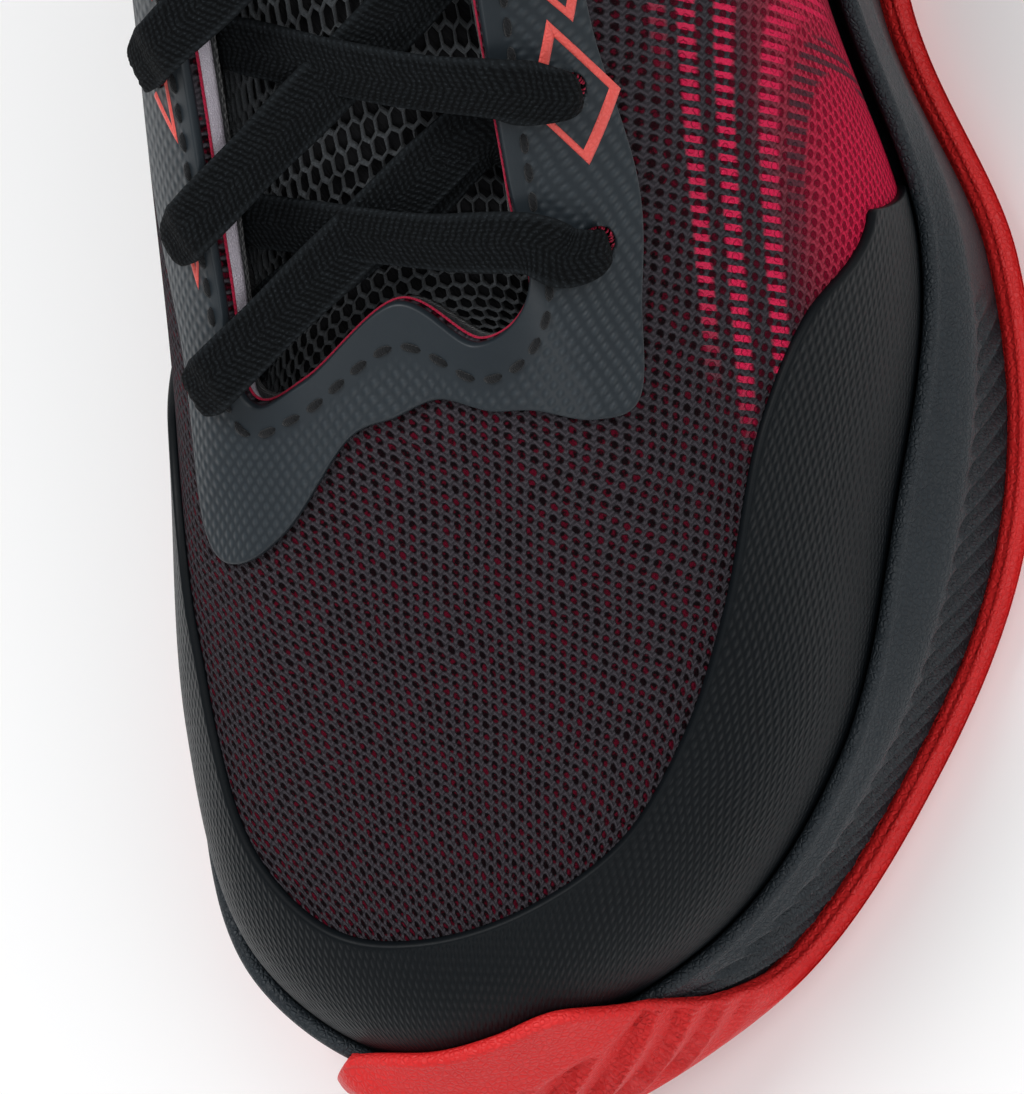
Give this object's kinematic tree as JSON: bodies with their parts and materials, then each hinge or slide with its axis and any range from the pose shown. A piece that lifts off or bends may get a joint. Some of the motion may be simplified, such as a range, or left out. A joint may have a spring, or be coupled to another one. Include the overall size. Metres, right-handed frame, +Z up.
{
  "type": "basketball high top",
  "caption": "Left high-top court shoe: knit upper with film overlays, cupped foam midsole, rubber outsole with toe wrap, padded collar, tongue and flat lace.",
  "frame": {"origin": "on the flat of the outsole, on the shoe's lengthwise reference line just behind the ball of the foot", "axes": "+Y towards the heel, +X to the lateral side, +Z up"},
  "size_m": [0.1176, 0.304, 0.1757],
  "materials": {
    "red_rubber": "fine pebbled coral red rubber",
    "foam_shell": "dark slate foam skin with fine leather grain",
    "shank": "plain moulded plate",
    "board": "non-woven lasting board",
    "sock_fabric": "brushed dark fabric",
    "knit": "dark grey yarn over crimson, open knit",
    "panel_fabric": "dark woven fabric",
    "film": "dark slate film with embossed diamond relief",
    "tpu": "satin moulded clip",
    "stiffener": "thermoformed sheet",
    "white_foam": "open-cell foam",
    "lining": "dark jersey",
    "spacer_mesh": "open hexagonal spacer mesh",
    "webbing": "crimson webbing",
    "lace": "flat black woven lace",
    "aglet": "clear-coated black tip"
  },
  "bodies": {
    "root": {"outsole": "red_rubber", "midsole": "foam_shell", "shank_plate": "shank", "strobel_board": "board", "sockliner": "sock_fabric", "knit_upper": "knit", "heel_panel": "panel_fabric", "toe_overlay": "film", "eyestay_overlay": "film", "heel_cup": "tpu", "toe_puff": "stiffener", "heel_counter": "stiffener", "throat_foam": "white_foam", "vamp_lining": "lining", "collar_padding": "white_foam", "collar_lining": "lining", "tongue_mesh": "spacer_mesh", "tongue_foam": "white_foam", "tongue_lining": "lining", "shoelace": "lace", "aglets": "aglet"},
    "tongue_top": {"tongue_top_mesh": "spacer_mesh", "tongue_top_foam": "white_foam", "tongue_top_lining": "lining"},
    "tongue_loop": {"tongue_pull_loop": "webbing"},
    "heel_loop": {"heel_pull_loop": "webbing"}
  },
  "joints": [
    {"name": "tongue_fold", "type": "hinge", "parent": "root", "child": "tongue_top", "pos_m": [-0.0005, 0.0366, 0.1434], "axis": [1, 0, 0], "range_deg": [0, 35]},
    {"name": "tongue_loop_flip", "type": "hinge", "parent": "tongue_top", "child": "tongue_loop", "pos_m": [0.0005, 0.0392, 0.1589], "axis": [1, 0, 0], "range_deg": [0, 50]},
    {"name": "heel_loop_flip", "type": "hinge", "parent": "root", "child": "heel_loop", "pos_m": [-0.002, 0.1327, 0.1315], "axis": [1, 0, 0], "range_deg": [-60, 0]}
  ]
}
